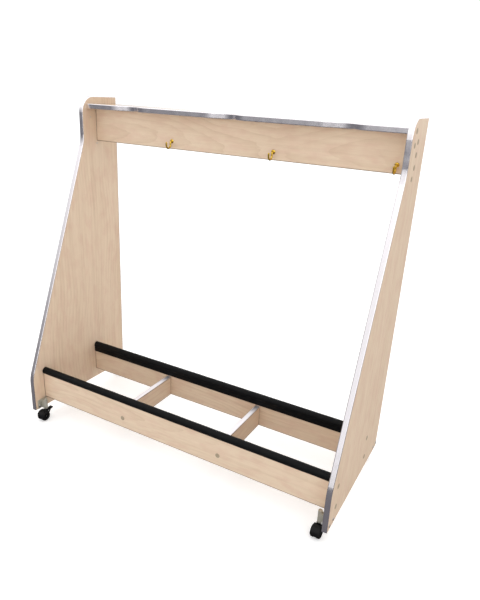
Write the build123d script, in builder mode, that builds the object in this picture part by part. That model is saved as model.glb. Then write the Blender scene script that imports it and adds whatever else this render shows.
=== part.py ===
from build123d import *
from math import acos, atan2, cos, radians, sin, tan
import os

# Mobile three-bay guitar rack, in millimetres.
# X runs along the rack, Y from front (minus) to back (plus), Z up from the floor.
# The origin is on the floor, under the middle of the rack.

# --- boards ---------------------------------------------------------------
board = 18.0                 # thickness of every board
band = 3.0                   # edge band on the boards
band_round = 2.4             # rounding of the band's long outer edges
bay_count = 3
interior_width = 1228.0      # between the end panels
panel_height = 1200.0
panel_depth = 535.0          # at the foot
panel_top_depth = 193.5      # above the shoulder
foot_height = 143.0          # vertical front edge at the foot
shoulder_drop = 164.0        # panel top down to the upper kink
kink_radius = 120.0
top_front_radius = 60.0
top_rear_radius = 8.0

# --- shelf, neck notches and apron ------------------------------------------
shelf_drop = 27.5            # panel top down to the shelf's upper face
shelf_setback = 22.0         # behind the panels' upper front edge
notch_depth = 24.0
notch_radius = 55.0          # hollow of a neck notch
notch_mouth_radius = 70.0    # rounded lips at its mouth
apron_height = 121.0
apron_face = 119.7           # apron's front face, forward of the rear edge

# --- lower rails, pads and dividers -------------------------------------------
rail_height = 120.0
rail_rise = 40.5             # above the panels' bottom edge
front_rail_setback = 53.5    # behind the panels' front edge at the foot
rear_rail_face = 185.0       # rear rail's front face, forward of the rear edge
pad_radius = 14.0            # round bead on top of a rail
pad_drop = 5.0               # bead centre below the rail's top edge
pad_leg = 28.5               # pad's flat leg below the bead centre
pad_leg_wall = 3.5
pad_end_gap = 0.5
divider_height = 84.0        # with its band

# --- cup hooks -----------------------------------------------------------------
hook_offset = 167.0          # to the right of a bay's middle
hook_rise = 27.5             # shank above the apron's bottom edge
hook_wire = 6.5              # wire diameter
hook_bend = 12.5             # radius of the bend, at the wire's centre
hook_neck = 9.5              # apron to the wire's near leg
hook_lead = 5.0              # radius of the turn out of the cup
hook_tip = 7.5               # far leg above the bend's centre
hook_thread = 14.0
hook_cup_radius = 7.5
hook_cup_height = 3.0
hook_cup_nose = 3.75         # cup's radius where the wire leaves it

# --- casters -------------------------------------------------------------------
wheel_diameter = 40.0
wheel_width = 13.0
wheel_dish = 2.5
wheel_dish_radius = 13.0
wheel_round = 1.0            # tread's edge next to the twin wheel
wheel_shoulder = 6.0         # its outer edge
axle_radius = 2.5
web_width = 7.0              # hood's wall between the two wheels
web_inset = 1.5              # its rim inside the treads
wheel_side_gap = 0.6
hood_gap = 0.8               # between tread and hood
hood_wall = 1.8
hood_inset = 4.0             # cover's sides stop short of the wheels' outer faces
hood_start = 35.0            # where the hood's cover begins, above the stem side's horizon
hood_sweep = 120.0
trail = 15.0                 # stem axis to axle
stem_radius = 4.0
boss_radius = 8.0
boss_height = 11.0
boss_floor = 2.0             # left under the stem's bore
stem_end_gap = 0.5           # stem's end to the bottom of its bore
stem_chamfer = 0.8
boss_rise = 0.9              # boss top above the hood
sweep_gap = 2.4              # hood top to the panels' bottom edge
running_gap = 0.05           # radial, between turning parts
bearing_gap = 0.3            # axial, between boss and stem collar
socket_offset = 20.0         # panel's inner face to the stem axis
socket_radius = 7.0
socket_length = 44.0
socket_rise = 2.0            # above the panels' bottom edge
collar_radius = 6.0
front_stem_setback = 35.0    # behind the panels' front edge
rear_stem_setback = 26.0     # ahead of the panels' rear edge
bracket_width = 46.0
bracket_height = 38.0
bracket_wall = 2.5
bracket_rise = 1.0
bracket_flange = 5.0         # flange thickness, each side of the socket
bolt_pitch = 34.0
bolt_rise = 16.0
bolt_radius = 3.0
bolt_head_radius = 5.5
bolt_head_height = 2.6
nut_width = 10.0
nut_height = 5.0
bolt_end = 1.5               # thread past the nut

# --- brake levers ----------------------------------------------------------------
brake_reach = 12.5           # stem axis to the lever's pivot
brake_drop = 8.5             # boss top down to the pivot
brake_pin_radius = 1.5
ear_width = 6.0
lever_side_gap = 0.5
lever_width = 16.0
lever_hub_radius = 3.2
lever_tab = 16.0             # pivot to the end of the tab
lever_tab_rise = 4.0
lever_tab_wall = 3.0
lever_foot_gap = 2.6         # released foot to the tread
lever_foot_angle = 12.0      # where the foot points, seen from the axle
lever_foot_run = 2.2         # flat sole of the foot, along and down
lever_foot_drop = 1.6
lever_neck = 1.9             # half the lever's neck, where it leaves the hub
lever_neck_drop = 2.0        # pivot down to the back of the neck
lever_tab_root = 1.0         # pivot down to the tab's underside
fork_margin = 1.3            # hub to the bottom of the fork

# --- screws and caps ---------------------------------------------------------------
screw_radius = 2.5
screw_length = 45.0
screw_head_radius = 5.0
screw_head_height = 3.0
cap_radius = 8.5
cap_height = 1.2
cap_bevel = 0.8
spare_tip = 0.8              # spare-hole screw past the panel's inner face
shelf_screw_setback = 24.0   # behind the shelf's front edge
apron_screw_pitch = 37.5
rail_screw_low = 17.0        # above the rail's bottom edge
rail_screw_drop = 26.0       # below its top edge
divider_screw_rise = 39.5    # above the rail's bottom edge
spare_high = (31.0, 31.5)    # ahead of the apron's face, below its top edge
spare_low = (1.0, 10.0)      # ahead of the apron's face, below its bottom edge

# --- derived places ---------------------------------------------------------------
wheel_radius = wheel_diameter / 2
hood_inner = wheel_radius + hood_gap
hood_radius = hood_inner + hood_wall
axle_z = wheel_radius
boss_top = axle_z + hood_radius + boss_rise
panel_bottom = axle_z + hood_radius + sweep_gap
panel_top = panel_bottom + panel_height
front_y = -panel_depth / 2
rear_y = panel_depth / 2
inner_x = interior_width / 2
outer_x = inner_x + board
foot_z = panel_bottom + foot_height
shoulder_z = panel_top - shoulder_drop
shoulder_y = rear_y - panel_top_depth
slant = atan2(shoulder_y - front_y, shoulder_z - foot_z)

shelf_top = panel_top - shelf_drop
shelf_front = shoulder_y + shelf_setback
apron_top = shelf_top - board
apron_bottom = apron_top - apron_height
apron_y = rear_y - apron_face

rail_bottom = panel_bottom + rail_rise
rail_top = rail_bottom + rail_height
front_rail_y = front_y + front_rail_setback
rear_rail_y = rear_y - rear_rail_face
divider_top = rail_bottom + divider_height
bay_width = (interior_width - (bay_count - 1) * board) / bay_count
bay_pitch = bay_width + board
bay_centres = [(i - (bay_count - 1) / 2) * bay_pitch for i in range(bay_count)]
divider_centres = [x + bay_pitch / 2 for x in bay_centres[:-1]]

notch_turn = acos(1 - notch_depth / (notch_radius + notch_mouth_radius))
notch_half = (notch_radius + notch_mouth_radius) * sin(notch_turn)

wheel_inner = web_width / 2 + wheel_side_gap
wheel_outer = wheel_inner + wheel_width
hood_half = wheel_outer - hood_inset
stem_x = inner_x - socket_offset
front_stem_y = front_y + front_stem_setback
rear_stem_y = rear_y - rear_stem_setback
casters = {
    "front_left": (-1, front_stem_y),
    "front_right": (1, front_stem_y),
    "rear_left": (-1, rear_stem_y),
    "rear_right": (1, rear_stem_y),
}
brake_z = boss_top - brake_drop

# Screw rows in the end panels, as (y, z) on the outer face.
shelf_screws = [(shelf_front + shelf_screw_setback, shelf_top - board / 2)]
apron_mid_y = apron_y + board / 2
apron_mid_z = (apron_top + apron_bottom) / 2
apron_screws = [(apron_mid_y, apron_mid_z + n * apron_screw_pitch) for n in (-1, 0, 1)]
rail_screw_rows = (rail_bottom + rail_screw_low, rail_top - rail_screw_drop)
front_rail_screws = [(front_rail_y + board / 2, z) for z in rail_screw_rows]
rear_rail_screws = [(rear_rail_y + board / 2, z) for z in rail_screw_rows]
spare_screws = [
    (apron_y - spare_high[0], apron_top - spare_high[1]),
    (apron_y - spare_low[0], apron_bottom - spare_low[1]),
]
panel_screws = shelf_screws + apron_screws + front_rail_screws + rear_rail_screws
divider_screw_z = rail_bottom + divider_screw_rise

CENTRE = Align.CENTER
OUTWARD = (CENTRE, CENTRE, Align.MIN)
INWARD = (CENTRE, CENTRE, Align.MAX)


def facing_out(side, y, z, x=outer_x):
    """A place on an end panel, with its own Z pointing away from the rack."""
    return Location((side * x, y, z), (0, side * 90, 0))


def both_sides(points):
    return [facing_out(side, y, z) for side in (-1, 1) for y, z in points]


def rail_front(x):
    """A divider screw's place on the front rail's front face, facing forward."""
    return Location((x, front_rail_y, divider_screw_z), (90, 0, 0))


def rail_back(x):
    """A divider screw's place on the rear rail's back face, facing back."""
    return Location((x, rear_rail_y + board, divider_screw_z), (-90, 0, 0))


divider_screws = [rail_front(x) for x in divider_centres] + [rail_back(x) for x in divider_centres]


def screw_shape(places, length=screw_length, mode=Mode.ADD):
    """Countersunk screws with their heads flush at the given places."""
    with Locations(*places):
        Cylinder(screw_radius, length, align=INWARD, mode=mode)
        Cone(screw_radius, screw_head_radius, screw_head_height, align=INWARD, mode=mode)


def save(part, name):
    """Labels a finished piece and writes its STEP file."""
    part.part.label = name
    export_step(part.part, f"parts/{name}.step")


os.makedirs("parts", exist_ok=True)


# --- end panels and their bands -----------------------------------------------------
def panel_outline(inset):
    """Side outline of an end panel in Y and Z, its banded edges drawn `inset` inside."""
    lean = inset * tan(slant / 2)
    front = front_y + inset
    shoulder = shoulder_y + inset
    rear = rear_y - inset
    top = panel_top - inset
    radii = [
        kink_radius - inset,
        kink_radius + inset,
        top_front_radius - inset,
        top_rear_radius - inset,
    ]
    with BuildSketch() as outline:
        with BuildLine():
            Line((rear, panel_bottom), (front, panel_bottom))
            FilletPolyline(
                (front, panel_bottom),
                (front, foot_z - lean),
                (shoulder, shoulder_z - lean),
                (shoulder, top),
                (rear, top),
                (rear, panel_bottom),
                radius=radii,
            )
        make_face()
    return outline.sketch


def bolt_places(side, stem_y):
    """Places of one caster bracket's two bolts, on the panel's outer face."""
    rows = (stem_y - bolt_pitch / 2, stem_y + bolt_pitch / 2)
    return [facing_out(side, y, panel_bottom + bolt_rise) for y in rows]


for side, name in ((-1, "left"), (1, "right")):
    low_x = min(side * inner_x, side * outer_x)
    with BuildPart() as end_panel:
        with BuildSketch(Plane.YZ.offset(low_x)):
            add(panel_outline(band))
        extrude(amount=board)
        screw_shape([facing_out(side, y, z) for y, z in panel_screws], mode=Mode.SUBTRACT)
        spare_places = [facing_out(side, y, z) for y, z in spare_screws]
        screw_shape(spare_places, board, mode=Mode.SUBTRACT)
        with Locations(*bolt_places(side, front_stem_y), *bolt_places(side, rear_stem_y)):
            Cylinder(bolt_radius, board, align=INWARD, mode=Mode.SUBTRACT)
    save(end_panel, f"{name}_end_panel")

    with BuildPart() as panel_band:
        with BuildSketch(Plane.YZ.offset(low_x)):
            add(panel_outline(0))
        extrude(amount=board)
        outer_rim = panel_band.edges().filter_by(Plane.YZ)
        foot_edges = outer_rim.filter_by(lambda e: abs(e.center().Z - panel_bottom) < 0.01)
        fillet(outer_rim - foot_edges, band_round)
        with BuildSketch(Plane.YZ.offset(low_x)):
            add(panel_outline(band))
        extrude(amount=board, mode=Mode.SUBTRACT)
    save(panel_band, f"{name}_panel_band")


# --- top shelf with neck notches -------------------------------------------------------
def around(centre, radius, angle):
    return (centre[0] + radius * cos(angle), centre[1] + radius * sin(angle))


def arc(centre, radius, start, end):
    """Arc about a centre, from one angle to another, in radians."""
    middle = (start + end) / 2
    ThreePointArc(*[around(centre, radius, angle) for angle in (start, middle, end)])


def shelf_outline(inset):
    """Plan of the shelf, its front edge drawn `inset` behind the finished edge."""
    front = shelf_front + inset
    quarter = radians(90)
    hollow_y = shelf_front + notch_depth - notch_radius
    lip_y = shelf_front + notch_mouth_radius
    lip = notch_mouth_radius - inset
    hollow = notch_radius + inset
    with BuildSketch() as outline:
        with BuildLine():
            x = -inner_x
            for centre in bay_centres:
                Line((x, front), (centre - notch_half, front))
                arc((centre - notch_half, lip_y), lip, -quarter, -quarter + notch_turn)
                arc((centre, hollow_y), hollow, quarter + notch_turn, quarter - notch_turn)
                arc((centre + notch_half, lip_y), lip, -quarter - notch_turn, -quarter)
                x = centre + notch_half
            Polyline((x, front), (inner_x, front), (inner_x, rear_y), (-inner_x, rear_y), (-inner_x, front))
        make_face()
    return outline.sketch


with BuildPart() as top_shelf:
    with BuildSketch(Plane.XY.offset(apron_top)):
        add(shelf_outline(band))
    extrude(amount=board)
    screw_shape(both_sides(shelf_screws), mode=Mode.SUBTRACT)
save(top_shelf, "top_shelf")

with BuildPart() as shelf_band:
    with BuildSketch(Plane.XY.offset(apron_top)):
        add(shelf_outline(0))
    extrude(amount=board)
    rims = shelf_band.edges().filter_by(Plane.XY)
    fillet(rims.filter_by(lambda e: e.center().Y < shelf_front + notch_depth + band), band_round)
    with BuildSketch(Plane.XY.offset(apron_top)):
        add(shelf_outline(band))
    extrude(amount=board, mode=Mode.SUBTRACT)
save(shelf_band, "shelf_band")

with BuildPart() as apron:
    with Locations((0, apron_mid_y, apron_mid_z)):
        Box(interior_width, board, apron_height)
    screw_shape(both_sides(apron_screws), mode=Mode.SUBTRACT)
    for centre in bay_centres:
        with Locations(Location((centre + hook_offset, apron_y, apron_bottom + hook_rise), (90, 0, 0))):
            Cylinder(hook_wire / 2, hook_thread, align=INWARD, mode=Mode.SUBTRACT)
save(apron, "apron")


# --- lower rails and their pads ----------------------------------------------------------
for face_y, screws, name in (
    (front_rail_y, front_rail_screws, "front_rail"),
    (rear_rail_y, rear_rail_screws, "rear_rail"),
):
    with BuildPart() as rail:
        with Locations((0, face_y + board / 2, rail_bottom + rail_height / 2)):
            Box(interior_width, board, rail_height)
        screw_shape(both_sides(screws), mode=Mode.SUBTRACT)
        screw_shape(divider_screws, mode=Mode.SUBTRACT)
    save(rail, name)


def pad_profile(face_y, leg_side):
    """Bead over a rail's top edge, with a flat leg on its front (-1) or back (1) face."""
    middle = face_y + board / 2
    bead_z = rail_top - pad_drop
    leg_y = middle + leg_side * (board + pad_leg_wall) / 2
    with Locations((middle, bead_z)):
        Circle(pad_radius)
    with Locations((leg_y, bead_z - pad_leg / 2)):
        Rectangle(pad_leg_wall, pad_leg)
    with Locations((middle, rail_top)):
        Rectangle(board, 2 * (pad_radius + pad_drop), align=(CENTRE, Align.MAX), mode=Mode.SUBTRACT)


for face_y, leg_side, name in ((front_rail_y, 1, "front_rail_pad"), (rear_rail_y, -1, "rear_rail_pad")):
    with BuildPart() as rail_pad:
        with BuildSketch(Plane.YZ.offset(-inner_x + pad_end_gap)):
            pad_profile(face_y, leg_side)
        extrude(amount=interior_width - 2 * pad_end_gap)
    save(rail_pad, name)


# --- dividers ------------------------------------------------------------------------------
divider_length = rear_rail_y - front_rail_y - board
divider_mid_y = (rear_rail_y + front_rail_y + board) / 2
for x, name in zip(divider_centres, ("left", "right")):
    with BuildPart() as divider:
        with Locations((x, divider_mid_y, rail_bottom)):
            Box(board, divider_length, divider_height - band, align=OUTWARD)
        screw_shape(divider_screws, mode=Mode.SUBTRACT)
    save(divider, f"{name}_divider")

    with BuildPart() as divider_band:
        with Locations((x, divider_mid_y, divider_top)):
            Box(board, divider_length, band, align=INWARD)
        fillet(divider_band.faces().sort_by(Axis.Z)[-1].edges().filter_by(Axis.Y), band_round)
    save(divider_band, f"{name}_divider_band")


# --- cup hooks -------------------------------------------------------------------------------
def hook_path(x):
    """Centre line of a hook's wire: out of the apron, down, round and up to the tip."""
    shank_z = apron_bottom + hook_rise
    near = apron_y - hook_neck
    far = near - 2 * hook_bend
    bend_z = apron_bottom + hook_wire / 2 + hook_bend
    Line((x, apron_y + hook_thread, shank_z), (x, near + hook_lead, shank_z))
    turn = hook_lead * (1 - cos(radians(45)))
    ThreePointArc(
        (x, near + hook_lead, shank_z),
        (x, near + turn, shank_z - turn),
        (x, near, shank_z - hook_lead),
    )
    Line((x, near, shank_z - hook_lead), (x, near, bend_z))
    ThreePointArc((x, near, bend_z), (x, near - hook_bend, bend_z - hook_bend), (x, far, bend_z))
    Line((x, far, bend_z), (x, far, bend_z + hook_tip))


for centre, name in zip(bay_centres, ("left", "middle", "right")):
    hook_x = centre + hook_offset
    shank_z = apron_bottom + hook_rise
    with BuildPart() as cup_hook:
        with BuildLine() as wire_line:
            hook_path(hook_x)
        with BuildSketch(Plane((hook_x, apron_y + hook_thread, shank_z), x_dir=(1, 0, 0), z_dir=(0, -1, 0))):
            Circle(hook_wire / 2)
        sweep(path=wire_line.wires()[0])
        with Locations(wire_line.wires()[0] @ 1):
            Sphere(hook_wire / 2)
    save(cup_hook, f"{name}_cup_hook")

with BuildPart() as hook_cups:
    for centre in bay_centres:
        cup_face = Location((centre + hook_offset, apron_y, apron_bottom + hook_rise), (90, 0, 0))
        with Locations(cup_face):
            Cone(hook_cup_radius, hook_cup_nose, hook_cup_height, align=OUTWARD)
            Cylinder(hook_wire / 2, hook_cup_height, align=OUTWARD, mode=Mode.SUBTRACT)
save(hook_cups, "hook_cups")


# --- casters ------------------------------------------------------------------------------------
def hood_band(centre, inner):
    """Ring sector over the wheels, from the stem side over the top to the trailing side."""
    with BuildSketch() as sector:
        with BuildLine():
            outer_arc = CenterArc(centre, hood_radius, hood_start, hood_sweep)
            inner_arc = CenterArc(centre, inner, hood_start, hood_sweep)
            Line(outer_arc @ 0, inner_arc @ 0)
            Line(outer_arc @ 1, inner_arc @ 1)
        make_face()
    return sector.sketch


def straddle(x, half):
    """Plane across the caster, `half` to the left of the given x."""
    return Plane.YZ.offset(x - half)


for name, (side, stem_y) in casters.items():
    x = side * stem_x
    axle_y = stem_y - trail
    axle = (axle_y, axle_z)
    braked = name.startswith("front")
    pivot = (stem_y + brake_reach, brake_z)

    with BuildPart() as hood:
        with BuildSketch(straddle(x, web_width / 2)):
            with Locations(axle):
                Circle(wheel_radius - web_inset)
        extrude(amount=web_width)
        with BuildSketch(straddle(x, web_width / 2)):
            add(hood_band(axle, wheel_radius - 2 * web_inset))
        extrude(amount=web_width)
        with BuildSketch(straddle(x, hood_half)):
            add(hood_band(axle, hood_inner))
        extrude(amount=2 * hood_half)
        with Locations((x, stem_y, boss_top)):
            Cylinder(boss_radius, boss_height, align=INWARD)
        with BuildSketch(straddle(x, wheel_outer), Plane.YZ.offset(x + web_width / 2)):
            with Locations(axle):
                Circle(hood_inner)
        extrude(amount=wheel_outer - web_width / 2, mode=Mode.SUBTRACT)
        if braked:
            with BuildSketch(straddle(x, ear_width / 2)):
                with Locations(pivot):
                    Circle(lever_hub_radius)
                with Locations((stem_y, brake_z)):
                    Rectangle(brake_reach, 2 * lever_hub_radius, align=(Align.MIN, CENTRE))
            extrude(amount=ear_width)
            with Locations(Location((x, *pivot), (0, 90, 0))):
                Cylinder(brake_pin_radius + running_gap, ear_width, mode=Mode.SUBTRACT)
        with Locations((x, stem_y, boss_top)):
            Cylinder(stem_radius + running_gap, boss_height - boss_floor, align=INWARD, mode=Mode.SUBTRACT)
        with Locations(Location((x, *axle), (0, 90, 0))):
            Cylinder(axle_radius, 2 * wheel_outer, mode=Mode.SUBTRACT)
    save(hood, f"caster_hood_{name}")

    with BuildPart() as caster_axle:
        with Locations(Location((x, *axle), (0, 90, 0))):
            Cylinder(axle_radius, 2 * (wheel_outer - wheel_dish))
    save(caster_axle, f"caster_axle_{name}")

    for facing, place in ((-1, "left"), (1, "right")):
        with BuildPart() as wheel:
            with Locations(Location((x + facing * wheel_inner, *axle), (0, facing * 90, 0))):
                Cylinder(wheel_radius, wheel_width, align=OUTWARD)
            rims = wheel.edges().filter_by(GeomType.CIRCLE).sort_by(Axis.X, reverse=facing < 0)
            fillet(rims[0], wheel_round)
            fillet(rims[-1], wheel_shoulder)
            with Locations(Location((x + facing * wheel_outer, *axle), (0, facing * 90, 0))):
                Cylinder(wheel_dish_radius, wheel_dish, align=INWARD, mode=Mode.SUBTRACT)
                Cylinder(axle_radius + running_gap, wheel_width, align=INWARD, mode=Mode.SUBTRACT)
        save(wheel, f"caster_wheel_{name}_{place}")

    with BuildPart() as stem:
        stem_bottom = boss_top - boss_height + boss_floor + stem_end_gap
        with Locations((x, stem_y, stem_bottom)):
            Cylinder(stem_radius, panel_bottom + socket_rise + socket_length - stem_bottom, align=OUTWARD)
        with Locations((x, stem_y, boss_top + bearing_gap)):
            collar_height = panel_bottom + socket_rise - boss_top - bearing_gap
            Cylinder(collar_radius, collar_height, align=OUTWARD)
        chamfer(stem.edges().sort_by(Axis.Z)[-1], stem_chamfer)
    save(stem, f"caster_stem_{name}")

    plate_face = side * inner_x
    with BuildPart() as bracket:
        with Locations((plate_face - side * bracket_wall / 2, stem_y, panel_bottom + bracket_rise)):
            Box(bracket_wall, bracket_width, bracket_height, align=OUTWARD)
        flange_run = socket_offset - bracket_wall
        for turn in (-1, 1):
            flange_y = stem_y + turn * (socket_radius - bracket_flange / 2)
            flange_x = plate_face - side * (bracket_wall + flange_run / 2)
            with Locations((flange_x, flange_y, panel_bottom + socket_rise)):
                Box(flange_run, bracket_flange, bracket_height - socket_rise, align=OUTWARD)
        with Locations((x, stem_y, panel_bottom + socket_rise)):
            Cylinder(socket_radius, socket_length, align=OUTWARD)
            Cylinder(stem_radius, socket_length, align=OUTWARD, mode=Mode.SUBTRACT)
        with Locations(*bolt_places(side, stem_y)):
            Cylinder(bolt_radius, board + bracket_wall, align=INWARD, mode=Mode.SUBTRACT)
    save(bracket, f"caster_bracket_{name}")

    if braked:
        foot_turn = radians(lever_foot_angle)
        foot_reach = wheel_radius + lever_foot_gap
        foot = (axle_y + foot_reach * cos(foot_turn), axle_z + foot_reach * sin(foot_turn))
        tab_end = (pivot[0] + lever_tab, pivot[1] + lever_tab_rise)
        with BuildPart() as lever:
            with BuildSketch(straddle(x, lever_width / 2)):
                with Locations(pivot):
                    Circle(lever_hub_radius)
                with BuildLine():
                    Polyline(
                        (pivot[0] - lever_neck, pivot[1]),
                        foot,
                        (foot[0] + lever_foot_run, foot[1] - lever_foot_drop),
                        (pivot[0] + lever_neck, pivot[1] - lever_neck_drop),
                        close=True,
                    )
                make_face()
                with BuildLine():
                    Polyline(
                        (pivot[0], pivot[1] + lever_hub_radius),
                        (tab_end[0], tab_end[1] + lever_tab_wall / 2),
                        (tab_end[0], tab_end[1] - lever_tab_wall / 2),
                        (pivot[0], pivot[1] - lever_tab_root),
                        close=True,
                    )
                make_face()
            extrude(amount=lever_width)
            fork = ear_width + 2 * lever_side_gap
            with Locations((x, pivot[0], pivot[1])):
                Box(fork, 2 * (lever_hub_radius + fork_margin), 2 * lever_tab, mode=Mode.SUBTRACT)
            with Locations(Location((x, *pivot), (0, 90, 0))):
                Cylinder(brake_pin_radius, lever_width)
        save(lever, f"brake_lever_{name}")


# --- fasteners ------------------------------------------------------------------------------------
for points, name in (
    (shelf_screws, "shelf_screws"),
    (apron_screws, "apron_screws"),
    (front_rail_screws, "front_rail_screws"),
    (rear_rail_screws, "rear_rail_screws"),
):
    with BuildPart() as screws:
        screw_shape(both_sides(points))
    save(screws, name)

with BuildPart() as divider_screw_set:
    screw_shape(divider_screws)
save(divider_screw_set, "divider_screws")

with BuildPart() as spare_screw_set:
    screw_shape(both_sides(spare_screws), board + spare_tip)
save(spare_screw_set, "spare_hole_screws")

with BuildPart() as screw_caps:
    with Locations(*both_sides(panel_screws + spare_screws), *divider_screws):
        Cone(cap_radius, cap_radius - cap_bevel, cap_height, align=OUTWARD)
save(screw_caps, "screw_caps")

bolt_sets = [place for side, stem_y in casters.values() for place in bolt_places(side, stem_y)]
bolt_length = board + bracket_wall + nut_height + bolt_end
with BuildPart() as caster_bolts:
    with Locations(*bolt_sets):
        Cylinder(bolt_head_radius, bolt_head_height, align=OUTWARD)
        Cylinder(bolt_radius, bolt_length, align=INWARD)
save(caster_bolts, "caster_bolts")

with BuildPart() as caster_nuts:
    for side, stem_y in casters.values():
        for y in (stem_y - bolt_pitch / 2, stem_y + bolt_pitch / 2):
            nut_face = side * (inner_x - bracket_wall)
            start = min(nut_face, nut_face - side * nut_height)
            with BuildSketch(Plane.YZ.offset(start)):
                with Locations((y, panel_bottom + bolt_rise)):
                    RegularPolygon(nut_width / 2, 6, major_radius=False)
                    Circle(bolt_radius, mode=Mode.SUBTRACT)
            extrude(amount=nut_height)
save(caster_nuts, "caster_nuts")
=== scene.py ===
# %% [markdown]
# # A mobile guitar rack
# The rack is flat-pack case work on casters: two slanted end panels, a shelf with neck notches, an
# apron with cup hooks, and two padded rails. The solid model already holds every size, so this lesson
# only adds what solids can't show: veneer, edge band, padding, brass and moulded nylon.

# %% Load the frame and note its box
import math

import bmesh
import bpy
from mathutils import Matrix, Vector


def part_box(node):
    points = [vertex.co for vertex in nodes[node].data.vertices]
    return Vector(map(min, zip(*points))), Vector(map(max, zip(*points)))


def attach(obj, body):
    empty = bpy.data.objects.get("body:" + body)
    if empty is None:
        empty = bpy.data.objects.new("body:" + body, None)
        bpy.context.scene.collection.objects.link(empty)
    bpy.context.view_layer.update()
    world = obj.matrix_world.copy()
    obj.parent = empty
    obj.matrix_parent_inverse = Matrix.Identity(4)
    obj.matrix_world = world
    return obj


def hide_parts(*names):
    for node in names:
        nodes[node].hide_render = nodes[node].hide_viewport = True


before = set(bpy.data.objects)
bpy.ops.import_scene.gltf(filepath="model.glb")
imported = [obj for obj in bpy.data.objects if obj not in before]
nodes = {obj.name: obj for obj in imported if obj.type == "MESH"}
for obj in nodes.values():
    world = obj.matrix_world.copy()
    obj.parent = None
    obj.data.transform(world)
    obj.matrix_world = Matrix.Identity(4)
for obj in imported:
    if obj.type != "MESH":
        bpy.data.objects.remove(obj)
scene = bpy.context.scene
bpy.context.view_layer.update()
MM = 0.001

# %% [markdown]
# ## The camera
# A catalogue view of a rack is taken from a little above the shelf, so that the shelf is nearly
# edge-on and the rails below are seen from above. Blender turns a camera with three angles: the swing
# about the upright axis, the tilt down, and a small roll about the line of sight.

# %% Place the camera
def place_camera(spot, swing, tilt_down, roll, lens):
    """A camera at `spot`, in metres, turned by angles in degrees, with a lens in millimetres."""
    data = bpy.data.cameras.new("studio_camera")
    data.lens = lens
    camera = bpy.data.objects.new("studio_camera", data)
    scene.collection.objects.link(camera)
    turn = Matrix.Rotation(math.radians(swing), 4, "Z")
    turn = turn @ Matrix.Rotation(math.radians(90 - tilt_down), 4, "X")
    turn = turn @ Matrix.Rotation(math.radians(roll), 4, "Z")
    camera.matrix_world = Matrix.Translation(spot) @ turn
    scene.camera = camera
    return camera


camera = place_camera(spot=(0.975, -1.563, 1.286), swing=27.85, tilt_down=20.79, roll=3.10, lens=32.72)
print("the camera looks from", [round(v, 2) for v in camera.location])

# %% [markdown]
# ## Floor and light
# A pale floor carries faint contact shadows, which is what tells the eye that the casters stand on it.
# The sky is even for everything that is lit, but mirror-like things would look flat in an even sky,
# so reflections see a plain studio: bright to the right, above and behind, dark blue to the left. A Light
# Path node tells the kinds of ray apart, in the sky and in the floor.

# %% Small helpers for node trees
def math_node(tree, operation, *values):
    """A Math node; each value is a number or a socket. Returns its output."""
    node = tree.nodes.new("ShaderNodeMath")
    node.operation = operation
    for socket, value in zip(node.inputs, values):
        if isinstance(value, (int, float)):
            socket.default_value = value
        else:
            tree.links.new(value, socket)
    return node.outputs[0]


def mix_colour(tree, factor, first, second, blend="MIX"):
    """A colour Mix node; the factor is a number or a socket, a colour is RGB or a socket."""
    node = tree.nodes.new("ShaderNodeMix")
    node.data_type = "RGBA"
    node.blend_type = blend
    factor_socket, first_socket, second_socket = node.inputs[0], node.inputs[6], node.inputs[7]
    for socket, value in ((factor_socket, factor), (first_socket, first), (second_socket, second)):
        if isinstance(value, (int, float)):
            socket.default_value = value
        elif isinstance(value, tuple):
            socket.default_value = (*value, 1)
        else:
            tree.links.new(value, socket)
    return node.outputs[2]


def map_range(tree, value, low, high, to_low=0.0, to_high=1.0):
    """Rescales a value and clamps it. Returns the output."""
    node = tree.nodes.new("ShaderNodeMapRange")
    tree.links.new(value, node.inputs[0])
    for socket, number in zip(node.inputs[1:5], (low, high, to_low, to_high)):
        socket.default_value = number
    return node.outputs[0]


def new_material(name, roughness, metallic=0.0, specular=0.5):
    """A material with its constant values on the shader. Returns the material, tree and shader."""
    material = bpy.data.materials.new(name)
    material.use_nodes = True
    shader = material.node_tree.nodes["Principled BSDF"]
    shader.inputs["Roughness"].default_value = roughness
    shader.inputs["Metallic"].default_value = metallic
    shader.inputs["Specular IOR Level"].default_value = specular
    return material, material.node_tree, shader


# %% Lay the floor
FLOOR_HALF = 45.0
FLOOR_DROP = 0.0002
FLOOR_PALE = (0.94, 0.94, 0.94)
FLOOR_IN_MIRRORS = (0.16, 0.155, 0.17)
FLOOR_GLOW = 0.30


def lay_floor():
    mesh = bpy.data.meshes.new("studio_floor")
    corners = [(-1, -1), (1, -1), (1, 1), (-1, 1)]
    points = [(FLOOR_HALF * x, FLOOR_HALF * y, -FLOOR_DROP) for x, y in corners]
    mesh.from_pydata(points, [], [(0, 1, 2, 3)])
    floor = bpy.data.objects.new("studio_floor", mesh)
    scene.collection.objects.link(floor)
    paint, tree, shader = new_material("studio_floor", roughness=0.9, specular=0.0)
    path = tree.nodes.new("ShaderNodeLightPath")
    seen = mix_colour(tree, path.outputs["Is Glossy Ray"], FLOOR_PALE, FLOOR_IN_MIRRORS)
    tree.links.new(seen, shader.inputs["Base Color"])
    glow = mix_colour(tree, path.outputs["Is Camera Ray"], (0.0, 0.0, 0.0), (1.0, 1.0, 1.0))
    tree.links.new(glow, shader.inputs["Emission Color"])
    shader.inputs["Emission Strength"].default_value = FLOOR_GLOW
    floor.data.materials.append(paint)


lay_floor()
print("the floor is", 2 * FLOOR_HALF, "m square")

# %% Light the studio
SKY_STRENGTH = 1.12
BACKDROP_STRENGTH = 1.12
STUDIO_DARK = (0.006, 0.005, 0.020)
STUDIO_BRIGHT = (1.25, 1.22, 1.22)


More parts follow.
